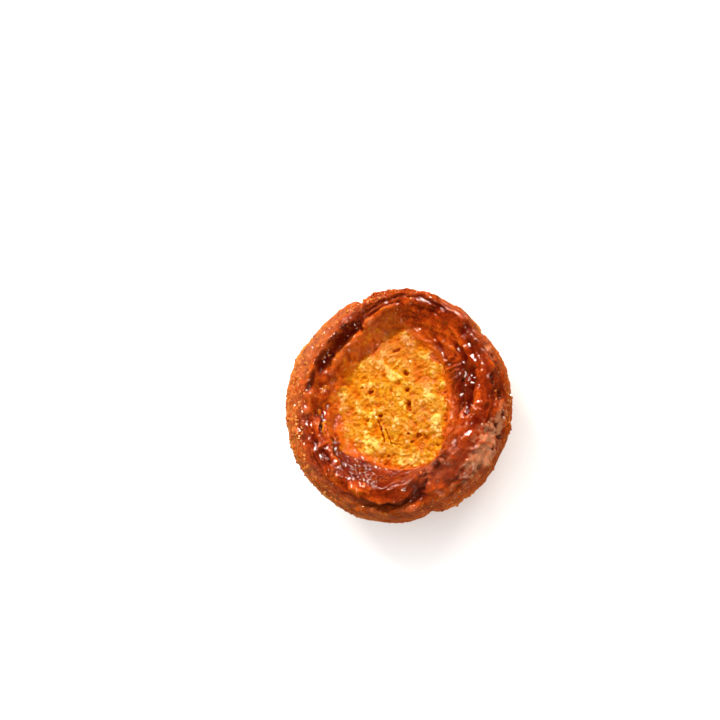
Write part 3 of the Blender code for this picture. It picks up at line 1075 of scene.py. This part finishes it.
# painted shade: the low places near the amber edge are pushed further towards amber
amber = start.kept("amber") + 0.6 * (speck - 0.5) + 0.5 * (0.5 - start.kept("high")) * beside
colour = start.colours(
    CRUMB_YELLOW,
    # painted highlight on the tops of the lumps and painted shade in the hollows between them
    (CRUMB_PALE, high.between(0.60, 0.90) * 0.9),
    (CRUMB_ORANGE, (1 - high).between(0.50, 0.90) * 0.8),
    (CRUMB_ORANGE, cloud.between(0.50, 0.66) * 0.5),
    (CRUMB_ORANGE, start.kept("baked") * (0.2 + speck) * 0.6),
    (CRUMB_BROWN, start.kept("baked") * (0.2 + cloud) * 0.25),
    (CRUMB_ORANGE, amber.between(0.05, 0.35)),
    (GLOW, amber.between(0.35, 0.75) * 0.85),
    (ORANGE, amber.between(0.70, 1.15) * 0.75),
    # painted highlight and painted shade again where the crumb turns amber: yellow tops, brown hollows
    (CRUMB_YELLOW, amber.between(0.2, 0.6) * high.between(0.62, 0.90) * 0.45),
    (CRUMB_BROWN, amber.between(0.2, 0.6) * (1 - high).between(0.50, 0.85) * 0.6),
    # painted shade: brown in the pores, holes and slits
    (CRUMB_BROWN, start.kept("pore").between(0.25, 0.95) * 0.85),
)
set_sockets(
    shader,
    Base_Color=colour,
    Roughness=0.36 + 0.3 * speck,
    Coat_Weight=0.5 * cloud.between(0.38, 0.60) + 0.6 * start.kept("amber") + 0.3,
    Normal=start.noise(0.45, 3.0, 0.6).bump(0.6, 0.15),
    IOR=1.4,
    Specular_IOR_Level=0.0,
    Coat_Roughness=0.035,
    Coat_IOR=1.5,
)
soaked(shader, 1.0, 1.4, (1.0, 0.90, 0.25))
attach(crumb, "root")

# --------------------------------------------------------------------
# The sugar: grains that didn't melt and stuck to the outside of the rim and in its folds, most of them on
# one side. Each is a small uneven block, clear to amber, a little sunk in the crust.
# --------------------------------------------------------------------
SUGAR_GRAINS = 1150
SUGAR_ON_CRUST = 0.85
SUGAR_SIZE = (0.28, 0.80)
SUGAR_WIDTH = (0.7, 1.3)
SUGAR_HEIGHT = (0.6, 1.0)
SUGAR_SUNK = 0.12
SUGAR_TILT = 0.7
SUGARED_PATCHES = (
    (2.0, 185, 18, 3.30, 0.40),
    (0.4, 150, 22, 3.45, 0.30),
    (0.5, 218, 20, 3.30, 0.30),
    (0.7, 352, 10, 3.05, 0.30),
)
LACQUERED_PATCHES = (
    (1.4, 186, 20, 3.80, 0.22),
    (0.5, 98, 16, 3.70, 0.35),
    (0.3, 350, 14, 3.30, 0.30),
)


def stuck_places(piece, wanted, draws, count):
    """Points of a piece and their normals, drawn at random by how much is wanted at each."""
    picked = draws.choice(len(wanted), count, p=wanted / wanted.sum())
    return points_of(piece)[picked], normals_of(piece)[picked]


def stuck_on(spot, direction, draws, sizes, widths, heights, most_tilt):
    """The place of a bit that stands on a surface of this direction, its size, turn and tilt drawn."""
    size = draws.uniform(*sizes) * MM
    shape = Matrix.Diagonal((size, size * draws.uniform(*widths), size * draws.uniform(*heights), 1))
    stand = Vector(direction).to_track_quat("Z", "Y").to_matrix().to_4x4()
    stand = stand @ Matrix.Rotation(draws.uniform(0, math.tau), 4, "Z")
    axis = Vector(draws.normal(size=3)).normalized()
    tilt = Matrix.Rotation(draws.uniform(-most_tilt, most_tilt), 4, axis)
    return Matrix.Translation(spot * MM) @ stand @ tilt @ shape


draws = np.random.default_rng(7)
crust_points = points_of(crust)
crust_angle = np.arctan2(crust_points[:, 1] + middle[1], crust_points[:, 0] + middle[0])
crust_station = np.interp(values_of(crust, "row"), range(len(crust_stations)), crust_stations)
sugared = patches(crust_angle, crust_station, SUGARED_PATCHES)
sugared = sugared + 0.03 * smooth((crust_station - 2.1) / 0.8) + 0.012
edge = glaze_edge(crust_angle, crust_points)
sugared *= smooth((crust_station - 1.3) / 0.3) * (1 - smooth((crust_station - edge - 0.1) / 0.15))
sugared *= smooth(0.45 + 1.3 * lumps(crust_points, 3.0, 91)) + 0.1
glaze_points = points_of(glaze)
glaze_angle = np.arctan2(glaze_points[:, 1] + middle[1], glaze_points[:, 0] + middle[0])
glaze_row = values_of(glaze, "row")
glaze_station = around(GLAZE_START, glaze_angle) - GLAZE_LEAD
glaze_station += (GLAZE_END - glaze_station) * glaze_row / GLAZE_ROWS
lacquered = patches(glaze_angle, glaze_station, LACQUERED_PATCHES) + 0.01
lacquered *= (glaze_row < GLAZE_ROWS * 0.9) * (glaze_row > GLAZE_ROWS * 0.12)
lacquered *= smooth(0.45 + 1.3 * lumps(glaze_points, 3.0, 92)) + 0.1
sugar_mesh = bmesh.new()
on_crust = stuck_places(crust, sugared, draws, int(SUGAR_GRAINS * SUGAR_ON_CRUST))
on_glaze = stuck_places(glaze, lacquered, draws, int(SUGAR_GRAINS * (1 - SUGAR_ON_CRUST)))
for spot, direction in (*zip(*on_crust), *zip(*on_glaze)):
    spot = spot - direction * SUGAR_SUNK
    place = stuck_on(spot, direction, draws, SUGAR_SIZE, SUGAR_WIDTH, SUGAR_HEIGHT, SUGAR_TILT)
    bmesh.ops.create_cube(sugar_mesh, size=1.0, matrix=place)
sugar = finished("sugar", sugar_mesh, rounded=False)

CLEAR_SUGAR = (0.82, 0.32, 0.08)
AMBER_SUGAR = (0.62, 0.125, 0.012)

shader, start = new_finish(sugar, "sugar_grain")
tint = start.noise(2.0, 2.0, 0.5)
set_sockets(
    shader,
    Base_Color=start.colours(CLEAR_SUGAR, (AMBER_SUGAR, tint.between(0.40, 0.62))),
    Roughness=0.12 + 0.2 * start.noise(0.6),
    IOR=1.5,
    Specular_IOR_Level=0.5,
    Coat_Weight=0.6,
    Coat_Roughness=0.05,
)
soaked(shader, 0.6, 0.5, (1.0, 0.6, 0.3))
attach(sugar, "root")

# --------------------------------------------------------------------
# The flecks: bits of caramel and of flaked crust that broke off as the pastry left its mould and stuck to
# the lip. Each is a small flat crumb, golden to brown.
# --------------------------------------------------------------------
FLECK_COUNT = 260
FLECK_SIZE = (0.28, 0.75)
FLECK_WIDTH = (0.6, 1.2)
FLECK_HEIGHT = (0.4, 0.9)
FLECK_TILT = 0.5
FLECKED_PATCHES = (
    (1.0, 196, 16, 3.05, 0.35),
    (0.8, 348, 14, 3.05, 0.35),
    (0.7, 120, 30, 3.35, 0.35),
    (0.5, 235, 24, 3.20, 0.30),
)

flecked = patches(crust_angle, crust_station, FLECKED_PATCHES)
flecked = flecked + 0.12 * smooth((crust_station - 2.3) / 0.8) + 0.01
flecked *= smooth((crust_station - 1.5) / 0.3) * (1 - smooth((crust_station - edge - 0.1) / 0.15))
flecks_mesh = bmesh.new()
for spot, direction in zip(*stuck_places(crust, flecked, draws, FLECK_COUNT)):
    place = stuck_on(spot, direction, draws, FLECK_SIZE, FLECK_WIDTH, FLECK_HEIGHT, FLECK_TILT)
    bmesh.ops.create_icosphere(flecks_mesh, subdivisions=1, radius=1.0, matrix=place)
flecks = finished("flecks", flecks_mesh)
fleck_places = points_of(flecks)
roughness = np.stack([lumps(fleck_places, 0.6, seed) for seed in (93, 94, 95)], axis=1)
put_points(flecks, fleck_places + 0.22 * roughness)

FLECK_GOLD = (0.66, 0.200, 0.020)
FLECK_BROWN = (0.34, 0.050, 0.006)

shader, start = new_finish(flecks, "fleck")
tint = start.noise(1.6, 3.0, 0.6)
set_sockets(
    shader,
    Base_Color=start.colours(FLECK_GOLD, (FLECK_BROWN, tint.between(0.42, 0.62))),
    Roughness=0.35 + 0.3 * tint,
    IOR=1.45,
    Specular_IOR_Level=0.3,
    Coat_Weight=0.5,
    Coat_Roughness=0.1,
)
soaked(shader, 0.5, 0.8, (1.0, 0.4, 0.1))
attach(flecks, "root")

# --------------------------------------------------------------------
# The stage: a plain pale floor that glows white but for a painted contact shadow round the pastry, a white
# surround and four soft lights, of which the largest stands high behind the pastry and to its left. The
# camera looks down on it from a little to the right and the front.
# --------------------------------------------------------------------
FLOOR_RADIUS = 4.0
LIGHT_COLOUR = (1.0, 0.90, 0.78)
LIGHT_TARGET = Vector((0, 0, 0.03))
CAMERA_TARGET = Vector((0, 0, 0.031))
CAMERA_TILT = math.radians(22)
CAMERA_SIDE = math.radians(-45)
CAMERA_DISTANCE = 0.8
FRAME_WIDTH = 0.2526
FRAME_OFFSET = (0.01228, -0.01544)
SENSOR_WIDTH = 36

floor_mesh = bmesh.new()
bmesh.ops.create_circle(floor_mesh, cap_ends=True, segments=96, radius=FLOOR_RADIUS)
floor = finished("floor", floor_mesh)
shader, start = new_finish(floor, "pale_floor")
# The floor glows white, less where the pastry closes it in: a painted contact shadow round its foot.
open_sky = start.node("AmbientOcclusion", {"samples": 16}, {"Distance": 0.03})
set_sockets(shader, Base_Color=(0.40, 0.40, 0.40, 1), Roughness=0.9)
set_sockets(shader, Emission_Color=open_sky, Emission_Strength=0.95)
floor.visible_glossy = False
floor.visible_diffuse = False

world = bpy.data.worlds.new("white_surround")
world.use_nodes = True
surround = Finish(world.node_tree)
direction = surround.node("TexCoord", {}, {}, out="Generated")
upward = surround.node("SeparateXYZ", {}, {0: direction}, out="Z")
strength = 0.37 + 0.70 * (-1 * upward).between(-0.25, 0.35)
set_sockets(world.node_tree.nodes["Background"], Color=(1, 1, 1, 1), Strength=strength)
world.cycles_visibility.glossy = False
bpy.context.scene.world = world


def soft_light(name, place, wide, high, power):
    """A rectangle of warm light that faces the pastry."""
    light = bpy.data.lights.new(name, "AREA")
    light.shape = "RECTANGLE"
    light.size = wide
    light.size_y = high
    light.energy = power
    light.color = LIGHT_COLOUR
    lamp = bpy.data.objects.new(name, light)
    lamp.location = place
    lamp.rotation_mode = "QUATERNION"
    lamp.rotation_quaternion = (LIGHT_TARGET - Vector(place)).to_track_quat("-Z", "Y")
    bpy.context.scene.collection.objects.link(lamp)


soft_light("key", (-0.84, 1.50, 1.98), 1.10, 0.32, 88.0)
soft_light("second", (1.38, 1.56, 1.50), 0.66, 0.20, 30.0)
soft_light("front", (1.26, -1.86, 1.38), 0.64, 0.18, 18.6)
soft_light("side", (0.53, 1.95, 0.98), 0.34, 0.09, 14.0)

camera_data = bpy.data.cameras.new("camera")
camera = bpy.data.objects.new("camera", camera_data)
bpy.context.scene.collection.objects.link(camera)
bpy.context.scene.camera = camera
camera_data.sensor_width = SENSOR_WIDTH
camera_data.lens = SENSOR_WIDTH * CAMERA_DISTANCE / FRAME_WIDTH
back = Vector((
    math.sin(CAMERA_TILT) * math.cos(CAMERA_SIDE),
    math.sin(CAMERA_TILT) * math.sin(CAMERA_SIDE),
    math.cos(CAMERA_TILT),
))
up = Vector((0, 1, 0)) - back * back.y
up.normalize()
right = up.cross(back)
spot = CAMERA_TARGET + back * CAMERA_DISTANCE - right * FRAME_OFFSET[0] - up * FRAME_OFFSET[1]
camera.matrix_world = Matrix.Translation(spot) @ Matrix((right, up, back)).transposed().to_4x4()
